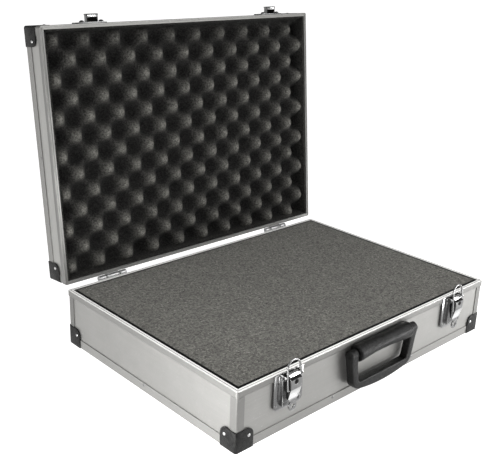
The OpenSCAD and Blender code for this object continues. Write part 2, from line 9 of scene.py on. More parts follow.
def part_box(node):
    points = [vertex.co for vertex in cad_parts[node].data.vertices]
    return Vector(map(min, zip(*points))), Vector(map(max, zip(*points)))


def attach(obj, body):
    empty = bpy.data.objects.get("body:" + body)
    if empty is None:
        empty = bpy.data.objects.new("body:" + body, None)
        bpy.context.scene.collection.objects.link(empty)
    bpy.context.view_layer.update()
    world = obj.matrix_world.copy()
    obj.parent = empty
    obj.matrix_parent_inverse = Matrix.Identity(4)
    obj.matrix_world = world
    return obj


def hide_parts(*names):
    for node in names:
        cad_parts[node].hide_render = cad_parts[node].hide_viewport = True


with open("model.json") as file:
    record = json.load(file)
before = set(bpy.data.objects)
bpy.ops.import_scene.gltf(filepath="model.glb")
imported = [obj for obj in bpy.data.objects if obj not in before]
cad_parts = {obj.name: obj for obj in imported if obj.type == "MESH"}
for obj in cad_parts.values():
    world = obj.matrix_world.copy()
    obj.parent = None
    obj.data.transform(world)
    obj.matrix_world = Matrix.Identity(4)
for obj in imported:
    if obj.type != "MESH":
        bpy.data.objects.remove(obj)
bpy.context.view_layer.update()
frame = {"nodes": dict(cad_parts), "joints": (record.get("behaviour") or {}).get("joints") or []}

MM = 0.001
nodes = frame["nodes"]
joints = {joint["name"]: joint for joint in frame["joints"]}

# Where things are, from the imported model
RIM_LOW, RIM_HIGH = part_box("base_rim_front")
FRONT_Y = RIM_LOW.y
HALF_W = RIM_HIGH.x
HINGE = Vector(joints["lid_hinge"]["pos_m"])
LID_OPEN = math.radians(joints["lid_hinge"]["range_deg"][1])
LID_SHUT = Matrix.Rotation(LID_OPEN, 3, "X")
# the two rims meet just above the hinge pins
PARTING_Z = HINGE.z + 0.15 * MM
GRIP_PIVOT = Vector(joints["grip_fold"]["pos_m"])
LATCH_X = joints["right_lever_hinge"]["pos_m"][0]


def turned(point, rotation):
    """A point turned about the lid's hinge."""
    return rotation @ (Vector(point) - HINGE) + HINGE


# ------------------------------------------------------------------ node tools

class Shader:
    """A material with a Principled shader and short calls for adding nodes."""

    def __init__(self, name, **settings):
        self.material = bpy.data.materials.new(name)
        self.material.use_nodes = True
        self.tree = self.material.node_tree
        self.bsdf = self.tree.nodes["Principled BSDF"]
        for key, value in settings.items():
            self.bsdf.inputs[key.replace("_", " ")].default_value = value
        coordinates = self.add("ShaderNodeTexCoord")
        self.place = coordinates.outputs["Object"]
        self.normal = coordinates.outputs["Normal"]

    def add(self, kind, **inputs):
        made = self.tree.nodes.new(kind)
        for key, value in inputs.items():
            self.put(value, made.inputs[key.replace("_", " ")])
        return made

    def put(self, value, socket):
        if isinstance(value, bpy.types.NodeSocket):
            self.tree.links.new(value, socket)
        else:
            socket.default_value = value

    def stretched(self, scale, turn=0.0):
        """Object coordinates turned about X and then scaled along each axis."""
        rotated = self.add("ShaderNodeVectorRotate", Vector=self.place, Angle=turn)
        rotated.rotation_type = "X_AXIS"
        mapped = self.add("ShaderNodeMapping", Vector=rotated.outputs["Vector"], Scale=scale)
        return mapped.outputs["Vector"]

    def in_closed_lid(self):
        """X, Y and Z of a lid surface point as they are in the closed case, in metres."""
        rotated = self.add("ShaderNodeVectorRotate", Vector=self.place, Center=HINGE,
                           Angle=LID_OPEN)
        rotated.rotation_type = "X_AXIS"
        split = self.add("ShaderNodeSeparateXYZ", Vector=rotated.outputs["Vector"])
        return [split.outputs[axis] for axis in "XYZ"]

    def upward(self):
        """1 on faces that look straight up, 0 on upright ones."""
        lift = self.add("ShaderNodeSeparateXYZ", Vector=self.normal).outputs["Z"]
        return self.ranged(lift, 0.6, 0.85, 0.0, 1.0)

    def sloped(self):
        """1 on faces that lean up or down, 0 on upright ones."""
        lift = self.add("ShaderNodeSeparateXYZ", Vector=self.normal).outputs["Z"]
        return self.ranged(self.math("MULTIPLY", lift, lift), 0.015, 0.1, 0.0, 1.0)

    def noise(self, vector, scale, detail=2.0, roughness=0.5):
        made = self.add("ShaderNodeTexNoise", Vector=vector, Scale=scale, Detail=detail,
                        Roughness=roughness)
        return made.outputs["Fac"]

    def cells(self, vector, scale, output="Distance"):
        return self.add("ShaderNodeTexVoronoi", Vector=vector, Scale=scale).outputs[output]

    def ranged(self, value, low, high, to_low, to_high):
        made = self.add("ShaderNodeMapRange")
        for slot_index, part in enumerate((value, low, high, to_low, to_high)):
            self.put(part, made.inputs[slot_index])
        return made.outputs["Result"]

    def math(self, operation, first, second):
        made = self.tree.nodes.new("ShaderNodeMath")
        made.operation = operation
        self.put(first, made.inputs[0])
        self.put(second, made.inputs[1])
        return made.outputs["Value"]

    def blend(self, factor, first, second):
        made = self.tree.nodes.new("ShaderNodeMix")
        made.data_type = "RGBA"
        self.put(factor, made.inputs["Factor"])
        self.put(first, made.inputs["A"])
        self.put(second, made.inputs["B"])
        return made.outputs["Result"]

    def colour(self, value):
        self.put(value, self.bsdf.inputs["Base Color"])

    def roughness(self, value):
        self.put(value, self.bsdf.inputs["Roughness"])

    def bump(self, height, distance, strength):
        """Adds a bump on top of those already there."""
        below = self.bsdf.inputs["Normal"].links
        made = self.add("ShaderNodeBump", Height=height, Distance=distance, Strength=strength)
        if below:
            self.tree.links.new(below[0].from_socket, made.inputs["Normal"])
        self.tree.links.new(made.outputs["Normal"], self.bsdf.inputs["Normal"])


def grey(value, warm=0.0):
    """A linear grey, turned slightly towards yellow by warm."""
    return (value * (1 + warm / 2), value, value * (1 - 2 * warm), 1.0)


# ------------------------------------------------------------------ materials

# noise scales along X, Y and Z, per metre: low along the brushing and high across it
ALONG, ACROSS = 14, 1300
GRAIN_X = (ALONG, ACROSS, ACROSS)
GRAIN_Y = (ACROSS, ALONG, ACROSS)
GRAIN_Z = (ACROSS, ACROSS, ALONG)
SCRATCHES = (240, 900, 420)
METAL_WARMTH = 0.020
FOAM_WARMTH = 0.045
METAL_SHARE = 0.6
# the outer face of the lid is more diffuse, and so is the parting face of the base
LID_TOP_METAL_SHARE = 0.35
PARTING_METAL_SHARE = 0.1


def brushed_metal(name, bright, grain, turn, metallic=METAL_SHARE, lit_top_tone=None):
    """Aluminium with fine lengthwise brushing, faint clouding and short scratches; with a top
    tone, its upward faces are painted that much lighter as painted light.
    """
    shader = Shader(name, Metallic=metallic, Anisotropic=0.3)
    lines = shader.noise(shader.stretched(grain, turn), 1.0, 3.0, 0.6)
    clouds = shader.noise(shader.place, 22.0, 4.0, 0.6)
    base = grey(bright, METAL_WARMTH)
    # painted light: upward faces take the lighter top tone, as if lit from above
    if lit_top_tone:
        up = shader.upward()
        base = shader.blend(up, base, grey(lit_top_tone, METAL_WARMTH / 2))
        shader.put(shader.ranged(up, 0.0, 1.0, metallic, PARTING_METAL_SHARE),
                   shader.bsdf.inputs["Metallic"])
    dull = shader.blend(0.10, base, grey(0.0))
    tone = shader.blend(shader.ranged(lines, 0.3, 0.7, 0.0, 1.0), dull, base)
    tone = shader.blend(shader.ranged(clouds, 0.35, 0.7, 0.0, 0.08), tone, grey(0.0))
    scratches = shader.noise(shader.stretched(SCRATCHES, turn + 0.5), 1.0, 1.0)
    tone = shader.blend(shader.ranged(scratches, 0.70, 0.76, 0.0, 0.05), tone, grey(1.0))
    shader.colour(tone)
    shader.roughness(shader.ranged(shader.math("ADD", lines, clouds), 0.7, 1.3, 0.32, 0.46))
    shader.bump(lines, 0.00003, 0.5)
    return shader.material


def moulded_plastic():
    """Black plastic with a fine spark-eroded grain and shallow greyish dents."""
    shader = Shader("black_plastic", Specular_IOR_Level=0.11)
    grain = shader.noise(shader.place, 900.0, 3.0, 0.7)
    patches = shader.noise(shader.place, 60.0, 3.0)
    dents = shader.noise(shader.place, 300.0, 3.0, 0.7)
    worn = shader.blend(shader.ranged(dents, 0.44, 0.62, 0.0, 1.0),
                        grey(0.003), grey(0.022, 0.02))
    shader.colour(shader.blend(patches, grey(0.004), worn))
    shader.roughness(shader.ranged(patches, 0.3, 0.7, 0.32, 0.5))
    shader.bump(grain, 0.0004, 0.8)
    shader.bump(dents, 0.0006, 0.5)
    return shader.material


def plated_steel(name, bright, rough, bends=None):
    """Plating over pressed steel, slightly uneven, with a painted highlight on its bends, the
    faces that lean up or down.
    """
    shader = Shader(name, Metallic=1.0)
    waves = shader.noise(shader.place, 320.0, 2.0)
    specks = shader.noise(shader.place, 2600.0, 2.0)
    tone = shader.blend(waves, grey(bright * 0.8), grey(bright * 1.1))
    if bends:
        # painted highlight: faces that lean up or down take the lighter bends tone
        tone = shader.blend(shader.sloped(), tone, grey(bends))
    shader.colour(tone)
    shader.roughness(shader.ranged(specks, 0.3, 0.7, rough, rough + 0.12))
    shader.bump(waves, 0.00015, 0.4)
    shader.bump(specks, 0.00002, 0.4)
    return shader.material


def dark_steel_and_shade():
    """Unplated, oil-darkened steel of the lock plugs' keyways; the same dark colour is painted
    as shade inside the catches' noses and in the levers' crevices.
    """
    shader = Shader("dark_steel_and_shade", Specular_IOR_Level=0.03)
    specks = shader.noise(shader.place, 1800.0, 2.0)
    shader.colour(shader.blend(specks, grey(0.006), grey(0.02)))
    shader.roughness(shader.ranged(specks, 0.3, 0.7, 0.35, 0.6))
    shader.bump(specks, 0.00004, 0.5)
    return shader.material


def flecked_foam(low, high):
    """Bonded grey foam: light and dark flecks over open pores, and painted shade along its
    edges.
    """
    shader = Shader("base_foam", Roughness=0.95, Specular_IOR_Level=0.15, Sheen_Weight=0.05)
    flecks = shader.noise(shader.place, 360.0, 3.0, 0.75)
    crumbs = shader.cells(shader.place, 480.0, "Color")
    clouds = shader.noise(shader.place, 24.0, 3.0)
    chips = shader.noise(shader.place, 430.0, 2.0, 0.6)
    tone = grey(0.038, FOAM_WARMTH)
    for pattern, start, end, share, shade in (
            (flecks, 0.38, 0.62, 1.0, 0.172),
            (crumbs, 0.2, 0.8, 0.4, 0.15),
            (clouds, 0.35, 0.65, 0.18, 0.07),
            (chips, 0.60, 0.68, 0.55, 0.34)):
        tone = shader.blend(shader.ranged(pattern, start, end, 0.0, share),
                            tone, grey(shade, FOAM_WARMTH))
    place = shader.add("ShaderNodeSeparateXYZ", Vector=shader.place).outputs
    # painted shade: a dark band within 1.3 to 1.9 mm of the foam's sides, for the shadow gap at
    # the rim
    edges = []
    for index, axis in enumerate("XY"):
        middle = (low[index] + high[index]) / 2
        half = (high[index] - low[index]) / 2
        away = shader.math("ABSOLUTE", shader.math("SUBTRACT", place[axis], middle), 0.0)
        edges.append(shader.ranged(away, half - 1.9 * MM, half - 1.3 * MM, 0.0, 1.0))
    edge = shader.math("MAXIMUM", *edges)
    shader.colour(shader.blend(edge, tone, grey(0.006)))
    pores = shader.cells(shader.place, 700.0)
    shader.bump(pores, 0.0008, 0.7)
    shader.bump(flecks, 0.0012, 0.6)
    return shader.material


def charcoal_foam():
    """Dark open-cell foam, with painted light on its peaks and painted shade, nearly black, in
    its pits, along its border and under its front side.
    """
    shader = Shader("lid_foam", Roughness=0.95, Specular_IOR_Level=0.1)
    flecks = shader.noise(shader.place, 430.0, 3.0, 0.75)
    x, y, z = shader.in_closed_lid()
    # painted light on the peaks, and painted shade in the pits, near the border and under the
    # front side
    lit_share = shader.ranged(z, PARTING_Z + 1.5 * MM, PARTING_Z + 17 * MM, 1.0, 0.0)
    lit_share = shader.math("MULTIPLY", lit_share, lit_share)
    for along, reach in ((x, HALF_W), (y, -FRONT_Y)):
        border_shade = shader.ranged(shader.math("ABSOLUTE", along, 0.0), reach - 12 * MM,
                               reach - 7 * MM, 1.0, 0.1)
        lit_share = shader.math("MULTIPLY", lit_share, border_shade)
    front_rim_shadow = shader.ranged(y, FRONT_Y + 10 * MM, FRONT_Y + 50 * MM, 0.4, 1.0)
    lit_share = shader.math("MULTIPLY", lit_share, front_rim_shadow)
    speckle = shader.ranged(flecks, 0.38, 0.64, 0.0, 1.0)
    # the peak tone is the painted light and the pit tone the painted shade
    peak = shader.blend(speckle, grey(0.036, FOAM_WARMTH), grey(0.132, FOAM_WARMTH))
    pit = shader.blend(speckle, grey(0.002), grey(0.015, 0.03))
    shader.colour(shader.blend(lit_share, pit, peak))
    pores = shader.cells(shader.place, 850.0)
    shader.bump(pores, 0.0009, 0.7)
    shader.bump(flecks, 0.0010, 0.5)
    return shader.material


PLASTIC = moulded_plastic()
# the last number of a plating is the tone of its painted highlight on faces that lean up or down
CHROME = plated_steel("chrome_plate", 0.17, 0.16, 0.62)
WIRE = plated_steel("wire_plate", 0.22, 0.20)
STEEL = plated_steel("nickel_plate", 0.13, 0.22, 0.45)
HINGE_STEEL = plated_steel("hinge_steel", 0.28, 0.36)
RIVET = plated_steel("rivet_steel", 0.38, 0.24)
EDGE_RIVET = plated_steel("edge_rivet_steel", 0.16, 0.35)
CATCH_RIVET = plated_steel("catch_rivet_steel", 0.12, 0.30)
DARK_STEEL_AND_SHADE = dark_steel_and_shade()
BASE_FOAM = flecked_foam(*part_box("base_foam"))
LID_FOAM = charcoal_foam()

LENGTHWAYS = {"front": GRAIN_X, "back": GRAIN_X, "top": GRAIN_X, "bottom": GRAIN_X,
              "left": GRAIN_Y, "right": GRAIN_Y}
# tone of the long pieces and tone of the short ones
ALUMINIUM = {
    ("base", "panel"): (0.22, 0.22),
    ("base", "edge"): (0.20, 0.22),
    ("base", "rim"): (0.15, 0.165),
    ("lid", "panel"): (0.25, 0.26),
    ("lid", "top"): (0.36, 0.36),
    ("lid", "edge"): (0.18, 0.18),
    ("lid", "rim"): (0.175, 0.14),
}
POST_TONE = {"base": 0.14, "lid": 0.17}
# painted light: the base rim's upward faces are painted almost white, as if lit from above,
# against the darker tone of its sides
LIT_TOP_TONE = {("base", "rim"): 0.98}
# the first of these words that a node's name holds decides its finish
FINISHES = (("plug", DARK_STEEL_AND_SHADE), ("bail", WIRE), ("latch", CHROME), ("catch", CHROME),
            ("protector", PLASTIC), ("handle", PLASTIC), ("hinge", HINGE_STEEL))


def paint(name, material):
    mesh = nodes[name].data
    mesh.materials.clear()
    mesh.materials.append(material)


def paint_frame():
    """Gives the CAD nodes whose names it knows their finishes, with the brushing along each
    aluminium length.
    """
    made = {}
    for name in nodes:
        words = name.split("_")
        shell = words[0]
        # the lid stands turned by this angle, and its brushing with it
        turn = LID_OPEN if shell == "lid" else 0.0
        kind = next((w for w in ("top", "panel", "edge", "rim") if w in words), None)
        finish = next((material for word, material in FINISHES if word in words), None)
        if kind:
            grain = LENGTHWAYS[next(w for w in words if w in LENGTHWAYS)]
            if (shell, kind, grain) not in made:
                long_tone, short_tone = ALUMINIUM[shell, kind]
                made[shell, kind, grain] = brushed_metal(
                    f"{shell}_{kind}", long_tone if grain is GRAIN_X else short_tone, grain,
                    turn, LID_TOP_METAL_SHARE if kind == "top" else METAL_SHARE,
                    LIT_TOP_TONE.get((shell, kind)))
            paint(name, made[shell, kind, grain])
        elif name.endswith("corner_posts"):
            paint(name, brushed_metal(name, POST_TONE[shell], GRAIN_Z, turn))
        elif finish:
            paint(name, finish)
    for name in ("left_latch_plate", "right_latch_plate", "handle_pins", "latch_pins"):
        paint(name, STEEL)


# ------------------------------------------------------------------ mesh tools

WELD = 2e-6


def mesh_piece(name, vertices, faces, material, body, replaced):
    """A new object that rides on a body and stands for one CAD node."""
    mesh = bpy.data.meshes.new(name)
    mesh.from_pydata(vertices, [], faces)
    mesh.validate()
    solid = bmesh.new()
    solid.from_mesh(mesh)
    bmesh.ops.recalc_face_normals(solid, faces=solid.faces)
    solid.to_mesh(mesh)
    solid.free()
    mesh.materials.append(material)
    piece = bpy.data.objects.new(name, mesh)
    bpy.context.scene.collection.objects.link(piece)
    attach(piece, body)
    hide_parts(replaced)
    return piece


def smooth(piece, angle):
    """Smooth shading that stays sharp where faces meet at more than an angle in degrees."""
    mesh = piece.data
    mesh.shade_smooth()
    mesh.set_sharp_from_angle(angle=math.radians(angle))


def sheet_faces(wide, tall):
    """Quads of a grid of wide by tall vertices."""
    return [
        (r * wide + c, r * wide + c + 1, (r + 1) * wide + c + 1, (r + 1) * wide + c)
        for r in range(tall - 1) for c in range(wide - 1)
    ]


def sheet_border(wide, tall):
    """Vertices round the edge of such a grid, in order."""
    return ([c for c in range(wide)]
            + [r * wide + wide - 1 for r in range(1, tall)]
            + [(tall - 1) * wide + c for c in range(wide - 2, -1, -1)]
            + [r * wide for r in range(tall - 2, 0, -1)])


def skirt_faces(border, start):
    """Quads from a border to its copy, whose vertices begin at start, and the lower face."""
    count = len(border)
    return [
        (border[i], border[(i + 1) % count], start + (i + 1) % count, start + i)
        for i in range(count)
    ] + [tuple(range(start, start + count))]


def loft_faces(rings, around):
    """Quads along a row of closed rings, and the two end faces."""
    last = (rings - 1) * around
    return [
        (n * around + k, n * around + (k + 1) % around,
         (n + 1) * around + (k + 1) % around, (n + 1) * around + k)
        for n in range(rings - 1) for k in range(around)
    ] + [tuple(range(around)), tuple(range(last, last + around))]


def finished(name, width, material, body):
    """A copy of a CAD node with its sharp edges broken by a bevel."""
    mesh = nodes[name].data.copy()
    solid = bmesh.new()
    solid.from_mesh(mesh)
    bmesh.ops.remove_doubles(solid, verts=solid.verts, dist=WELD)
    bmesh.ops.dissolve_limit(solid, angle_limit=math.radians(0.5), verts=solid.verts,
                             edges=solid.edges)
    solid.to_mesh(mesh)
    solid.free()
    piece = bpy.data.objects.new(name + "_finished", mesh)
    bpy.context.scene.collection.objects.link(piece)
    bevel = piece.modifiers.new("broken_edges", "BEVEL")
    bevel.width = width
    bevel.segments = 2
    bevel.limit_method = "ANGLE"
    bevel.angle_limit = math.radians(35)
    bevel.use_clamp_overlap = True
    evaluated = piece.evaluated_get(bpy.context.evaluated_depsgraph_get())
    piece.data = bpy.data.meshes.new_from_object(evaluated)
    piece.modifiers.clear()
    piece.data.materials.clear()
    piece.data.materials.append(material)
    smooth(piece, 30)
    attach(piece, body)
    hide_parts(name)
    return piece


# ------------------------------------------------------------------ foam

CRATE_PITCH = Vector((44.6 * MM, 47.6 * MM))
CRATE_PHASE = Vector((-211.0 * MM, -141.2 * MM))
# the sheet was cut a little askew
CRATE_SKEW = 0.0145
CRATE_DEPTH = 23 * MM
# height of the peaks and of the back over the parting plane of the closed case
CRATE_DROP = 1.5 * MM
CRATE_BACK = 35.3 * MM
CRATE_MARGIN = 5.0 * MM
CRATE_STEP = 1.9 * MM
# width of the flattened border, and how much of it is the slope down to the bumps
CRATE_BORDER = 6 * MM
CRATE_SLOPE = 4 * MM
# unevenness of the cut: sideways, and as a share of the depth
CRATE_WOBBLE = 0.9 * MM
CRATE_UNEVEN = 0.03


def crate_height(x, y):
    """Share of full height, 1 on a peak and 0 in a pit, a little uneven as cut foam is."""
    wobble = noise.noise(Vector((x * 30, y * 30, 0.3))) * CRATE_WOBBLE
    u = 2 * math.pi * (x + CRATE_SKEW * y + wobble - CRATE_PHASE.x) / CRATE_PITCH.x
    v = 2 * math.pi * (y - CRATE_SKEW * x - wobble - CRATE_PHASE.y) / CRATE_PITCH.y
    wave = 0.5 + 0.5 * math.cos(u) * math.cos(v)
    uneven = noise.noise(Vector((x * 55, y * 55, 2.1))) * CRATE_UNEVEN
    return min(1.0, max(0.0, wave + uneven))


def egg_crate_foam():
    """The lid's foam, with its bumps, its flattened border, its sides and its back."""
    half_w = HALF_W - CRATE_MARGIN
    half_d = -FRONT_Y - CRATE_MARGIN
    columns = round(2 * half_w / CRATE_STEP)
    rows = round(2 * half_d / CRATE_STEP)
    lid_raised = LID_SHUT.inverted()
    flat = []
    vertices = []
    for row in range(rows + 1):
        y = -half_d + 2 * half_d * row / rows
        for column in range(columns + 1):
            x = -half_w + 2 * half_w * column / columns
            inset = min(half_w - abs(x), half_d - abs(y))
            swell = min(1.0, max(0.0, (CRATE_BORDER - inset) / CRATE_SLOPE))
            height = max(crate_height(x, y), swell * swell * (3 - 2 * swell))
            depth = CRATE_DROP + CRATE_DEPTH * (1 - height)
            flat.append((x, y))
            vertices.append(turned((x, y, PARTING_Z + depth), lid_raised))
    border = sheet_border(columns + 1, rows + 1)
    faces = sheet_faces(columns + 1, rows + 1) + skirt_faces(border, len(vertices))
    vertices += [turned((*flat[i], PARTING_Z + CRATE_BACK), lid_raised) for i in border]
    piece = mesh_piece("egg_crate_lining", vertices, faces, LID_FOAM, "lid",
                       "lid_egg_crate_foam")
    smooth(piece, 60)


SLAB_EDGE = 2.0 * MM
SLAB_STEP = 4 * MM
# the top rises and falls by this much, and lies this much under the CAD's
SLAB_SWAY = 0.3 * MM
SLAB_BELOW = 0.1 * MM
# rows of vertices near an edge, in millimetres from it, and where the even rows begin
SLAB_EDGE_ROWS = (0, 0.1, 0.3, 0.6, 1.0, 1.4, 2.0, 4.0)
SLAB_EVEN_FROM = 8 * MM


def slab_rows(start, end):
    """Places of the vertices across the slab, closer together near its edges."""
    even = end - start - 2 * SLAB_EVEN_FROM
    count = round(even / SLAB_STEP)
    return ([start + t * MM for t in SLAB_EDGE_ROWS]
            + [start + SLAB_EVEN_FROM + even * i / count for i in range(count + 1)]
            + [end - t * MM for t in reversed(SLAB_EDGE_ROWS)])


def base_foam_slab():
    """The base's foam, with a rounded upper edge and a slightly uneven top."""
    low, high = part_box("base_foam")
    xs = slab_rows(low.x, high.x)
    ys = slab_rows(low.y, high.y)
    vertices = []
    for y in ys:
        for x in xs:
            inside = min(x - low.x, high.x - x, y - low.y, high.y - y)
            fall = max(0.0, 1 - inside / SLAB_EDGE)
            drop = SLAB_EDGE * (1 - math.sqrt(max(0.0, 1 - fall * fall)))
            sway = SLAB_SWAY * noise.noise(Vector((x * 14, y * 14, 0)))
            vertices.append((x, y, high.z - drop + sway - SLAB_BELOW))
    border = sheet_border(len(xs), len(ys))
    faces = sheet_faces(len(xs), len(ys)) + skirt_faces(border, len(vertices))
    vertices += [(vertices[i][0], vertices[i][1], low.z) for i in border]
    piece = mesh_piece("base_foam_slab", vertices, faces, BASE_FOAM, "base", "base_foam")
    smooth(piece, 60)


# ------------------------------------------------------------------ rivets and catches

def islands(solid):
    """Groups of joined vertices, one for each separate solid, in the mesh's own order."""
    seen = set()
    for first in solid.verts:
        if first in seen:
            continue
        seen.add(first)
        group = [first]
        for vertex in group:
            for edge in vertex.link_edges:
                other = edge.other_vert(vertex)
                if other not in seen:
                    seen.add(other)
                    group.append(other)
        yield group


DOME_AROUND = 20
DOME_RINGS = 5
# heads wider than this hold a catch
CATCH_HEAD = 5 * MM
# smaller heads nearer than this to a side and to the front or back hold a protector
PROTECTOR_REACH = 25 * MM
RIVET_FINISHES = (RIVET, CATCH_RIVET, EDGE_RIVET)


def dome(low, high):
    """Vertices and faces of a rounded head that fills the box of a rivet's stepped one."""
    size = high - low
    middle = (low + high) / 2
    out = 0 if size.x < size.y else 1
    side = 1 - out
    foot = high if low[out] < 0 else low
    rise = -size[out] if low[out] < 0 else size[out]
    vertices = []
    for ring in range(DOME_RINGS):
        lift = math.radians(90 * ring / DOME_RINGS)
        reach = size.z / 2 * math.cos(lift)
        for k in range(DOME_AROUND):
            turn = 2 * math.pi * k / DOME_AROUND
            point = middle.copy()
            point[out] = foot[out] + rise * math.sin(lift)
            point[side] += reach * math.cos(turn)
            point.z += reach * math.sin(turn)
            vertices.append(point)
    tip = middle.copy()
    tip[out] = foot[out] + rise
    vertices.append(tip)
    last = (DOME_RINGS - 1) * DOME_AROUND
    faces = []
    for k in range(DOME_AROUND):
        after = (k + 1) % DOME_AROUND
        faces += [(r * DOME_AROUND + k, r * DOME_AROUND + after,
                   (r + 1) * DOME_AROUND + after, (r + 1) * DOME_AROUND + k)
                  for r in range(DOME_RINGS - 1)]
        faces.append((last + k, last + after, last + DOME_AROUND))
    faces.append(tuple(range(DOME_AROUND - 1, -1, -1)))
    return vertices, faces


def rivet_finish(low, high):
    """The material of a head, from its size and place in the closed case."""
    middle = (low + high) / 2
    if high.z - low.z > CATCH_HEAD:
        return CATCH_RIVET
    near_side = abs(middle.x) > HALF_W - PROTECTOR_REACH
    near_end = abs(middle.y) > -FRONT_Y - PROTECTOR_REACH
    return RIVET if near_side and near_end else EDGE_RIVET


def rivet_domes(shell_name, shut):
    """Smooth domed heads over the stepped ones of one shell, shaped with the case closed."""
    source = shell_name + "_rivets"
    heads = bmesh.new()
    heads.from_mesh(nodes[source].data)
    bmesh.ops.remove_doubles(heads, verts=heads.verts, dist=WELD)
    vertices = []
    faces = []
    finishes = []
    for group in islands(heads):
        points = [turned(vertex.co, shut) for vertex in group]
        low = Vector([min(p[i] for p in points) for i in range(3)])
        high = Vector([max(p[i] for p in points) for i in range(3)])
        head, quads = dome(low, high)
        start = len(vertices)
        vertices += [turned(point, shut.inverted()) for point in head]
        faces += [tuple(start + k for k in face) for face in quads]
        finishes += [rivet_finish(low, high)] * len(quads)
    heads.free()
    piece = mesh_piece(shell_name + "_rivet_domes", vertices, faces, RIVET_FINISHES[0],
                       shell_name, source)
    for material in RIVET_FINISHES[1:]:
        piece.data.materials.append(material)
    for face, finish in zip(piece.data.polygons, finishes):
        face.material_index = RIVET_FINISHES.index(finish)
    smooth(piece, 50)


# Sizes on the catch and the lever, in millimetres: out from the rim, up from the parting
# plane, and for the lever up from the floor
# these sizes bound the painted shade inside the catches and in the levers' crevices
ROLL_OUT, ROLL_UP, ROLL_RADIUS = 8.8, 4.5, 2.7
HOLLOW_FROM, HOLLOW_TO = 1.25, 10.1
HOLLOW_UP, HOLLOW_RADIUS = 5.1, 6.9
LEDGE_FROM, LEDGE_TO = 9.3, 12.5
BEND_LOW, BEND_HIGH = 68.0, 69.1
ROLL_LOW, ROLL_HIGH = 68.6, 70.6


def paint_hollow_shade(piece, x_middle):
    """Paints shade on the inside of a catch's nose, in the dark steel colour."""
    piece.data.materials.append(DARK_STEEL_AND_SHADE)
    for face in piece.data.polygons:
        centre = turned(face.center, LID_SHUT)
        out = (FRONT_Y - centre.y) / MM
        across = (centre.x - x_middle) / MM
        up = (centre.z - PARTING_Z) / MM
        on_roll = math.hypot(out - ROLL_OUT, up - ROLL_UP) < ROLL_RADIUS
        within = math.hypot(across, max(0.0, up - HOLLOW_UP)) < HOLLOW_RADIUS
        if HOLLOW_FROM < out < HOLLOW_TO and within and not on_roll:
            face.material_index = 1


def paint_crevice_shade(piece):
    """Paints shade, in the dark steel colour, into the crevice between a lever's roll and its
    face and on the bend below it.
    """
    piece.data.materials.append(DARK_STEEL_AND_SHADE)
    for face in piece.data.polygons:
        out = (FRONT_Y - face.center.y) / MM
        up = face.center.z / MM
        on_bend = BEND_LOW < up < BEND_HIGH and face.normal.z > 0.2
        under_roll = ROLL_LOW < up < ROLL_HIGH and face.normal.y < 0
        if LEDGE_FROM < out < LEDGE_TO and (on_bend or under_roll):
            face.material_index = 1


# ------------------------------------------------------------------ handle

# All sizes of the handle are in millimetres
PIVOT_OUT = (FRONT_Y - GRIP_PIVOT.y) / MM
PIVOT_Z = GRIP_PIVOT.z / MM


def from_front(x, out, z):
    """A point x along the front, out millimetres proud of the rim and z up."""
    return (x * MM, FRONT_Y - out * MM, z * MM)


def arc(centre, radius, start, end, count):
    """Points of an arc in the front view, its angles in degrees."""
    return [
        (centre[0] + radius * math.cos(math.radians(start + (end - start) * i / count)),
         centre[1] + radius * math.sin(math.radians(start + (end - start) * i / count)))
        for i in range(count + 1)
    ]


def line(start, end, count):
    """Points of a straight line in the front view."""
    return [
        (start[0] + (end[0] - start[0]) * i / count,
         start[1] + (end[1] - start[1]) * i / count)
        for i in range(count + 1)
    ]


# half thickness of the grip at its eyes and elsewhere, and the length between the two
EYE_RADIUS = 6.4
GRIP_HALF = 5.4
EYE_EASE = 9
GRIP_HALF_W = 63
# where each arm bends, where its outer side ends, and the round corners and belly below
ARM_BEND = (60.6, 46)
ARM_LOW_X = 57
CORNER_X, CORNER_RADIUS = 42, 15
BELLY_RADIUS, BELLY_CENTRE_Z = 230, 239
# the finger opening: its half width above and below, its lower side and its corners
WINDOW_HALF, WINDOW_BEND_Z = 49.8, 47
WINDOW_LOW_X, WINDOW_LOW_Z, WINDOW_RADIUS = 46, 22.4, 4
# the rounded top of an arm: its inner side, and how its sides close in as they rise
EYE_INNER_X = WINDOW_HALF + 0.1
EYE_OUTER_LEAN, EYE_INNER_LEAN = 0.25, 0.12
EYE_TURNS = (84, 70, 55, 40, 25, 10)
GRIP_AROUND = 28
# exponent that gives the section its flat sides and round edges
GRIP_POWER = 2 / 6.5


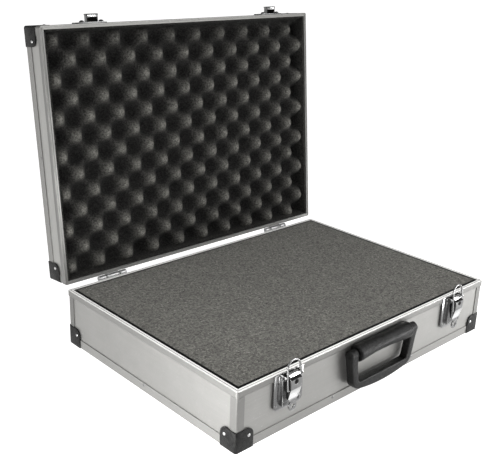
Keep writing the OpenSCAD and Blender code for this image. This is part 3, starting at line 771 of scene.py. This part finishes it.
def handle_grip():
    """The folding grip, one rounded section swept from eye to eye round the D."""
    inner_radius = BELLY_RADIUS - CORNER_RADIUS
    swing = math.degrees(math.asin(CORNER_X / inner_radius))
    corner_z = BELLY_CENTRE_Z - inner_radius * math.cos(math.radians(swing))
    outer = (line((GRIP_HALF_W, PIVOT_Z), ARM_BEND, 4)[:-1]
             + line(ARM_BEND, (ARM_LOW_X, corner_z), 4)[:-1]
             + arc((CORNER_X, corner_z), CORNER_RADIUS, 0, swing - 90, 12)[:-1]
             + arc((0, BELLY_CENTRE_Z), BELLY_RADIUS, 270 + swing, 270, 12))
    window_x = WINDOW_LOW_X - WINDOW_RADIUS
    window_z = WINDOW_LOW_Z + WINDOW_RADIUS
    inner = (line((WINDOW_HALF, PIVOT_Z), (WINDOW_HALF, WINDOW_BEND_Z), 4)[:-1]
             + line((WINDOW_HALF, WINDOW_BEND_Z), (WINDOW_LOW_X, window_z), 4)[:-1]
             + arc((window_x, window_z), WINDOW_RADIUS, 0, -90, 12)[:-1]
             + line((window_x, WINDOW_LOW_Z), (0, WINDOW_LOW_Z), 12))
    # rounded top of each arm, over its pivot
    right = []
    for turn in EYE_TURNS:
        rise = EYE_RADIUS * math.sin(math.radians(turn))
        right.append(((GRIP_HALF_W - EYE_OUTER_LEAN * rise, PIVOT_Z + rise),
                      (EYE_INNER_X + EYE_INNER_LEAN * rise, PIVOT_Z + rise),
                      EYE_RADIUS * math.cos(math.radians(turn))))
    # thicker towards the pivot
    for o, i in zip(outer, inner):
        near_eye = max(0.0, min(1.0, (o[1] - (PIVOT_Z - EYE_EASE)) / EYE_EASE))
        right.append((o, i, GRIP_HALF + (EYE_RADIUS - GRIP_HALF) * near_eye))
    left = [((-o[0], o[1]), (-i[0], i[1]), half) for o, i, half in reversed(right[:-1])]
    vertices = []
    for o, i, half in right + left:
        middle = ((o[0] + i[0]) / 2, (o[1] + i[1]) / 2)
        reach = ((o[0] - i[0]) / 2, (o[1] - i[1]) / 2)
        for k in range(GRIP_AROUND):
            angle = 2 * math.pi * k / GRIP_AROUND
            c, s = math.cos(angle), math.sin(angle)
            u = math.copysign(abs(c) ** GRIP_POWER, c)
            v = math.copysign(abs(s) ** GRIP_POWER, s)
            vertices.append(from_front(middle[0] + reach[0] * u, PIVOT_OUT + half * v,
                                       middle[1] + reach[1] * u))
    faces = loft_faces(len(right) + len(left), GRIP_AROUND)
    piece = mesh_piece("handle_grip_moulding", vertices, faces, PLASTIC, "grip",
                       "handle_grip")
    smooth(piece, 50)


BAR_RADIUS = 10.2
BAR_AROUND = 72
BAR_COUNT = 40
BAR_REACH = 16.0
# the end faces' edges are rounded over this length by this share of the section
BAR_END = 1.5
BAR_END_SHRINK = 0.13
LIP_BELOW_TOP = 4.2
# the foot reaches this far back from the rim's face, onto the panel
PANEL_INSET = 1.95
# above the lip it stands this far clear of the rim's face
RIM_CLEAR = 0.05
# the foot's upper side lies this much lower than the round part's top
FOOT_DROP = 1.2
HALVINGS = 18
SCOOP_TURN = math.radians(-36)
SCOOP_HALF = 44
SCOOP_DEPTH = 3.6


def in_bar(x, out, z, lip_z):
    """Whether a point is inside the bar: round front, foot on the panel, scoop cut away."""
    if out < -PANEL_INSET or (out < RIM_CLEAR and z > lip_z):
        return False
    round_part = math.hypot(out - PIVOT_OUT, z - PIVOT_Z) <= BAR_RADIUS
    foot_half = BAR_RADIUS - (FOOT_DROP if z > PIVOT_Z else 0)
    foot = out <= PIVOT_OUT and abs(z - PIVOT_Z) <= foot_half
    if not (round_part or foot):
        return False
    share = max(0.0, 1 - (x / SCOOP_HALF) ** 2)
    along = (out - PIVOT_OUT) * math.cos(SCOOP_TURN) + (z - PIVOT_Z) * math.sin(SCOOP_TURN)
    return along <= BAR_RADIUS - SCOOP_DEPTH * share


def handle_bar():
    """The fixed bar, lofted from sections found by halving along rays from its axis."""
    _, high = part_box("handle_bar")
    half = high.x / MM
    lip_z = high.z / MM - LIP_BELOW_TOP
    ends = [(-half + t, 1.0 - (1 - t / BAR_END) ** 2 * BAR_END_SHRINK)
            for t in (0.0, 0.25, 0.6, 1.0, BAR_END)]
    length = 2 * (half - BAR_END)
    stations = ends + [(-half + BAR_END + length * i / BAR_COUNT, 1.0)
                       for i in range(1, BAR_COUNT)]
    stations += [(-x, shrink) for x, shrink in reversed(ends)]
    vertices = []
    for x, shrink in stations:
        for k in range(BAR_AROUND):
            angle = 2 * math.pi * k / BAR_AROUND
            c, s = math.cos(angle), math.sin(angle)
            near, far = 0.0, BAR_REACH
            for _ in range(HALVINGS):
                probe = (near + far) / 2
                if in_bar(x, PIVOT_OUT + probe * c, PIVOT_Z + probe * s, lip_z):
                    near = probe
                else:
                    far = probe
            reach = near * shrink
            vertices.append(from_front(x, PIVOT_OUT + reach * c, PIVOT_Z + reach * s))
    faces = loft_faces(len(stations), BAR_AROUND)
    piece = mesh_piece("handle_bar_moulding", vertices, faces, PLASTIC, "base", "handle_bar")
    smooth(piece, 24)


# ------------------------------------------------------------------ stage

# The photograph's standpoint, left of the front corner and above the lid's middle
CAMERA_PLACE = (-0.71417, -0.67557, 0.50565)
CAMERA_AZIMUTH = math.radians(43.892)
CAMERA_DOWN = math.radians(19.899)
CAMERA_ROLL = math.radians(2.170)
CAMERA_LENS = 58.03


def camera():
    ahead = Vector((math.sin(CAMERA_AZIMUTH) * math.cos(CAMERA_DOWN),
                    math.cos(CAMERA_AZIMUTH) * math.cos(CAMERA_DOWN),
                    -math.sin(CAMERA_DOWN)))
    right = Vector((math.cos(CAMERA_AZIMUTH), -math.sin(CAMERA_AZIMUTH), 0))
    up = right.cross(ahead)
    right, up = (right * math.cos(CAMERA_ROLL) + up * math.sin(CAMERA_ROLL),
                 up * math.cos(CAMERA_ROLL) - right * math.sin(CAMERA_ROLL))
    data = bpy.data.cameras.new("camera")
    data.sensor_width = 36
    data.lens = CAMERA_LENS
    data.clip_start = 0.05
    data.clip_end = 50
    made = bpy.data.objects.new("camera", data)
    turn = Matrix((right, up, -ahead)).transposed().to_4x4()
    made.matrix_world = Matrix.Translation(CAMERA_PLACE) @ turn
    bpy.context.scene.collection.objects.link(made)
    bpy.context.scene.camera = made


# name, place, target, size, power in watts
LIGHTS = (
    ("key", (0.6, -0.8, 0.8), (0.08, -0.1, 0.07), (0.9, 0.6), 13.0),
    ("upper_left", (-0.9, -0.15, 0.6), (-0.2, 0, 0.06), (0.5, 0.4), 2.8),
    ("back_left", (-1.1, 0.25, 0.12), (-0.23, -0.12, 0.04), (0.4, 0.3), 7.0),
    ("low_left", (-0.43, -0.155, 0.03), (-0.23, -0.13, 0.02), (0.16, 0.05), 1.2),
    ("corner", (-0.18, -0.12, 0.42), (-0.18, -0.12, 0.07), (0.15, 0.15), 0.42),
    ("right", (0.38, -0.60, 0.05), (0.14, -0.16, 0.03), (0.5, 0.10), 4.6),
)
FLOOR_HALF = 30
FLOOR_BELOW = 0.4 * MM


def area_light(name, place, target, size, power):
    data = bpy.data.lights.new(name, "AREA")
    data.shape = "RECTANGLE"
    data.size, data.size_y = size
    data.energy = power
    light = bpy.data.objects.new(name, data)
    light.location = place
    aim = Vector(target) - Vector(place)
    light.rotation_euler = aim.to_track_quat("-Z", "Y").to_euler()
    bpy.context.scene.collection.objects.link(light)


def sky():
    """A white surround, pale at the horizon and dim above."""
    world = bpy.data.worlds.new("studio")
    world.use_nodes = True
    tree = world.node_tree
    background = tree.nodes["Background"]
    background.inputs["Color"].default_value = (1, 0.995, 0.985, 1)
    direction = tree.nodes.new("ShaderNodeTexCoord")
    split = tree.nodes.new("ShaderNodeSeparateXYZ")
    ramp = tree.nodes.new("ShaderNodeMapRange")
    tree.links.new(direction.outputs["Generated"], split.inputs["Vector"])
    tree.links.new(split.outputs["Z"], ramp.inputs["Value"])
    tree.links.new(ramp.outputs["Result"], background.inputs["Strength"])
    for key, value in (("From Max", 0.15), ("To Min", 0.95), ("To Max", 0.25)):
        ramp.inputs[key].default_value = value
    bpy.context.scene.world = world
    bpy.context.scene.view_settings.view_transform = "Standard"


def floor():
    """A plain pale floor, just under the case, that glows a little to stay white."""
    mesh = bpy.data.meshes.new("floor")
    corners = [(x * FLOOR_HALF, y * FLOOR_HALF, -FLOOR_BELOW)
               for x, y in ((-1, -1), (1, -1), (1, 1), (-1, 1))]
    mesh.from_pydata(corners, [], [(0, 1, 2, 3)])
    shader = Shader("pale_floor", Roughness=0.8, Emission_Strength=0.96,
                    Emission_Color=grey(1.0))
    clouds = shader.noise(shader.place, 3.0, 2.0)
    shader.colour(shader.blend(clouds, grey(0.40), grey(0.43)))
    mesh.materials.append(shader.material)
    plane = bpy.data.objects.new("floor", mesh)
    bpy.context.scene.collection.objects.link(plane)


camera()
sky()
for light in LIGHTS:
    area_light(*light)
floor()
paint_frame()
egg_crate_foam()
base_foam_slab()
handle_grip()
handle_bar()
rivet_domes("base", Matrix.Identity(3))
rivet_domes("lid", LID_SHUT)
for shell in ("base", "lid"):
    for corner in ("front_left", "front_right", "back_left", "back_right"):
        finished(f"{shell}_protector_{corner}", 0.35 * MM, PLASTIC, shell)
for side, sign in (("left", -1), ("right", 1)):
    paint_crevice_shade(finished(f"{side}_latch_lever", 0.2 * MM, CHROME, side + "_lever"))
    finished(f"{side}_latch_plate", 0.25 * MM, STEEL, "base")
    catch = finished(f"{side}_catch", 0.25 * MM, CHROME, "lid")
    paint_hollow_shade(catch, sign * LATCH_X)
    for shell in ("base", "lid"):
        finished(f"{side}_hinge_{shell}_leaf", 0.2 * MM, HINGE_STEEL, shell)
